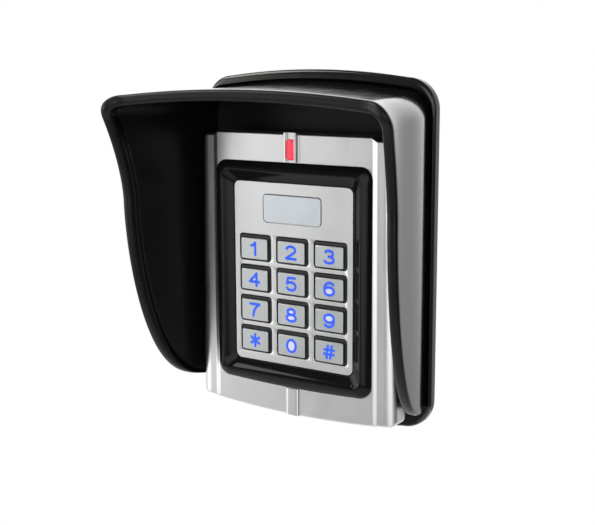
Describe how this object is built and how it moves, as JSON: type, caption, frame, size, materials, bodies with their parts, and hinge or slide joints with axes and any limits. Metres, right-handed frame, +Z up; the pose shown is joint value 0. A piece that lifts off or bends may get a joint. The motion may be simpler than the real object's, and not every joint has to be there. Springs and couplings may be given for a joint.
{
  "type": "keypad access reader",
  "caption": "Wall-mounted outdoor access reader with a metal keypad in a gloss black bezel and a red status light, under a deep flared weather hood.",
  "frame": {"origin": "centre of the flat back face of the hood, on the wall", "axes": "+X to the right as seen from the front, +Y into the wall, +Z up; the front faces -Y"},
  "size_m": [0.1376, 0.0645, 0.1538],
  "materials": {
    "hood_plastic": "gloss black moulded plastic",
    "cover_metal": "satin, fine bead-blasted zinc alloy",
    "bezel_plastic": "piano black",
    "plate_metal": "satin",
    "name_plate_metal": "satin",
    "key_metal": "satin chrome",
    "key_carrier": "black",
    "housing_plastic": "fine black texture",
    "lens_red": "lit red light window",
    "rubber": "matte",
    "silicone": "translucent",
    "board": "green solder mask",
    "chip": "black epoxy",
    "relay_case": "blue",
    "header": "natural nylon",
    "led_package": "clear to white",
    "copper": "enamelled copper wire",
    "zinc_steel": "zinc plated"
  },
  "bodies": {
    "reader": {"antenna_coil": "copper", "backlight_led_1": "led_package", "backlight_led_2": "led_package", "backlight_led_3": "led_package", "backlight_led_4": "led_package", "bezel_ring": "bezel_plastic", "board_screw_1": "zinc_steel", "board_screw_2": "zinc_steel", "board_screw_3": "zinc_steel", "board_screw_4": "zinc_steel", "buzzer": "chip", "cable_grommet": "rubber", "case_screw_1": "zinc_steel", "case_screw_2": "zinc_steel", "case_screw_3": "zinc_steel", "case_screw_4": "zinc_steel", "front_cover": "cover_metal", "header_connector": "header", "hood": "hood_plastic", "housing_gasket": "rubber", "keypad_mat": "silicone", "keypad_plate": "plate_metal", "led_lens": "lens_red", "main_board": "board", "microcontroller": "chip", "mounting_bracket": "zinc_steel", "name_plate": "name_plate_metal", "rear_housing": "housing_plastic", "relay": "relay_case", "security_screw": "zinc_steel", "status_led": "led_package", "tamper_sensor": "led_package"},
    "key_1": {"key_1_cap": "key_metal", "key_1_carrier": "key_carrier"},
    "key_2": {"key_2_cap": "key_metal", "key_2_carrier": "key_carrier"},
    "key_3": {"key_3_cap": "key_metal", "key_3_carrier": "key_carrier"},
    "key_4": {"key_4_cap": "key_metal", "key_4_carrier": "key_carrier"},
    "key_5": {"key_5_cap": "key_metal", "key_5_carrier": "key_carrier"},
    "key_6": {"key_6_cap": "key_metal", "key_6_carrier": "key_carrier"},
    "key_7": {"key_7_cap": "key_metal", "key_7_carrier": "key_carrier"},
    "key_8": {"key_8_cap": "key_metal", "key_8_carrier": "key_carrier"},
    "key_9": {"key_9_cap": "key_metal", "key_9_carrier": "key_carrier"},
    "key_star": {"key_star_cap": "key_metal", "key_star_carrier": "key_carrier"},
    "key_0": {"key_0_cap": "key_metal", "key_0_carrier": "key_carrier"},
    "key_hash": {"key_hash_cap": "key_metal", "key_hash_carrier": "key_carrier"}
  },
  "joints": [
    {"name": "key_1_press", "type": "slide", "parent": "reader", "child": "key_1", "axis": [0, 1, 0], "range_m": [0, 0.0008], "stiffness_N_per_m": 1200, "springref_m": -0.0004},
    {"name": "key_2_press", "type": "slide", "parent": "reader", "child": "key_2", "axis": [0, 1, 0], "range_m": [0, 0.0008], "stiffness_N_per_m": 1200, "springref_m": -0.0004},
    {"name": "key_3_press", "type": "slide", "parent": "reader", "child": "key_3", "axis": [0, 1, 0], "range_m": [0, 0.0008], "stiffness_N_per_m": 1200, "springref_m": -0.0004},
    {"name": "key_4_press", "type": "slide", "parent": "reader", "child": "key_4", "axis": [0, 1, 0], "range_m": [0, 0.0008], "stiffness_N_per_m": 1200, "springref_m": -0.0004},
    {"name": "key_5_press", "type": "slide", "parent": "reader", "child": "key_5", "axis": [0, 1, 0], "range_m": [0, 0.0008], "stiffness_N_per_m": 1200, "springref_m": -0.0004},
    {"name": "key_6_press", "type": "slide", "parent": "reader", "child": "key_6", "axis": [0, 1, 0], "range_m": [0, 0.0008], "stiffness_N_per_m": 1200, "springref_m": -0.0004},
    {"name": "key_7_press", "type": "slide", "parent": "reader", "child": "key_7", "axis": [0, 1, 0], "range_m": [0, 0.0008], "stiffness_N_per_m": 1200, "springref_m": -0.0004},
    {"name": "key_8_press", "type": "slide", "parent": "reader", "child": "key_8", "axis": [0, 1, 0], "range_m": [0, 0.0008], "stiffness_N_per_m": 1200, "springref_m": -0.0004},
    {"name": "key_9_press", "type": "slide", "parent": "reader", "child": "key_9", "axis": [0, 1, 0], "range_m": [0, 0.0008], "stiffness_N_per_m": 1200, "springref_m": -0.0004},
    {"name": "key_star_press", "type": "slide", "parent": "reader", "child": "key_star", "axis": [0, 1, 0], "range_m": [0, 0.0008], "stiffness_N_per_m": 1200, "springref_m": -0.0004},
    {"name": "key_0_press", "type": "slide", "parent": "reader", "child": "key_0", "axis": [0, 1, 0], "range_m": [0, 0.0008], "stiffness_N_per_m": 1200, "springref_m": -0.0004},
    {"name": "key_hash_press", "type": "slide", "parent": "reader", "child": "key_hash", "axis": [0, 1, 0], "range_m": [0, 0.0008], "stiffness_N_per_m": 1200, "springref_m": -0.0004}
  ]
}
